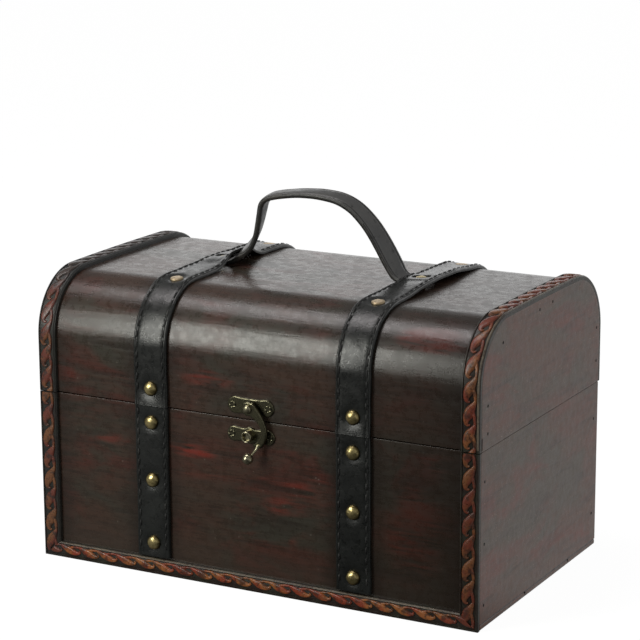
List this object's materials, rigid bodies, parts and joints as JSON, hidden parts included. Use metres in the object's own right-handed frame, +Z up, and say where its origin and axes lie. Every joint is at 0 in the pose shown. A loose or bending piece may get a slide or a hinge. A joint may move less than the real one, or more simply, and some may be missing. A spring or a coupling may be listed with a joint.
{
  "type": "domed wooden treasure chest",
  "caption": "Small domed wooden chest with a hinged lid, leather straps with brass studs, carved trim, a leather carrying handle and a swing-hook clasp.",
  "frame": {"origin": "centre of the flat underside of the base", "axes": "+X to the right seen from the front, -Y out of the front with the clasp, +Z up"},
  "size_m": [0.263, 0.1722, 0.2021],
  "materials": {
    "stained_wood": "dark mahogany stain with red patches under satin varnish",
    "ornament_trim": "dark strip with a red-brown running wave ornament in low relief",
    "strap_leather": "black leather with stitched edges and a soft sheen",
    "handle_leather": "smooth dark grey-black leather",
    "stud_brass": "old gold, polished dome with dark tarnish at the rim",
    "aged_bronze": "antique bronze, dark in the hollows and bright on the edges",
    "hinge_steel": "brass-plated stamped steel"
  },
  "bodies": {
    "box": {"base_board": "stained_wood", "box_back_panel": "stained_wood", "box_end_left": "stained_wood", "box_end_right": "stained_wood", "box_front_panel": "stained_wood", "box_strap_left": "strap_leather", "box_strap_right": "strap_leather", "box_studs": "stud_brass", "box_trim_bottom": "ornament_trim", "box_trim_left": "ornament_trim", "box_trim_right": "ornament_trim", "hinge_box_leaf_left": "hinge_steel", "hinge_box_leaf_right": "hinge_steel", "hinge_box_screws": "hinge_steel", "hinge_pin_left": "hinge_steel", "hinge_pin_right": "hinge_steel", "keeper_plate": "aged_bronze", "keeper_post": "aged_bronze", "keeper_screws": "aged_bronze"},
    "lid": {"clasp_plate": "aged_bronze", "clasp_screws": "aged_bronze", "handle": "handle_leather", "handle_rivets": "stud_brass", "hinge_lid_leaf_left": "hinge_steel", "hinge_lid_leaf_right": "hinge_steel", "hinge_lid_screws": "hinge_steel", "hook_pivot": "aged_bronze", "lid_back_board": "stained_wood", "lid_back_stave": "stained_wood", "lid_end_left": "stained_wood", "lid_end_right": "stained_wood", "lid_front_board": "stained_wood", "lid_front_stave": "stained_wood", "lid_strap_left": "strap_leather", "lid_strap_right": "strap_leather", "lid_studs": "stud_brass", "lid_top_board_back": "stained_wood", "lid_top_board_front": "stained_wood", "lid_trim_left": "ornament_trim", "lid_trim_right": "ornament_trim"},
    "hook": {"swing_hook": "aged_bronze"}
  },
  "joints": [
    {"name": "lid_hinge", "type": "hinge", "parent": "box", "child": "lid", "pos_m": [0, 0.0798, 0.094], "axis": [-1, 0, 0], "range_deg": [0, 95]},
    {"name": "hook_swing", "type": "hinge", "parent": "lid", "child": "hook", "pos_m": [0, -0.0803, 0.1006], "axis": [0, -1, 0], "range_deg": [-12, 100]}
  ]
}
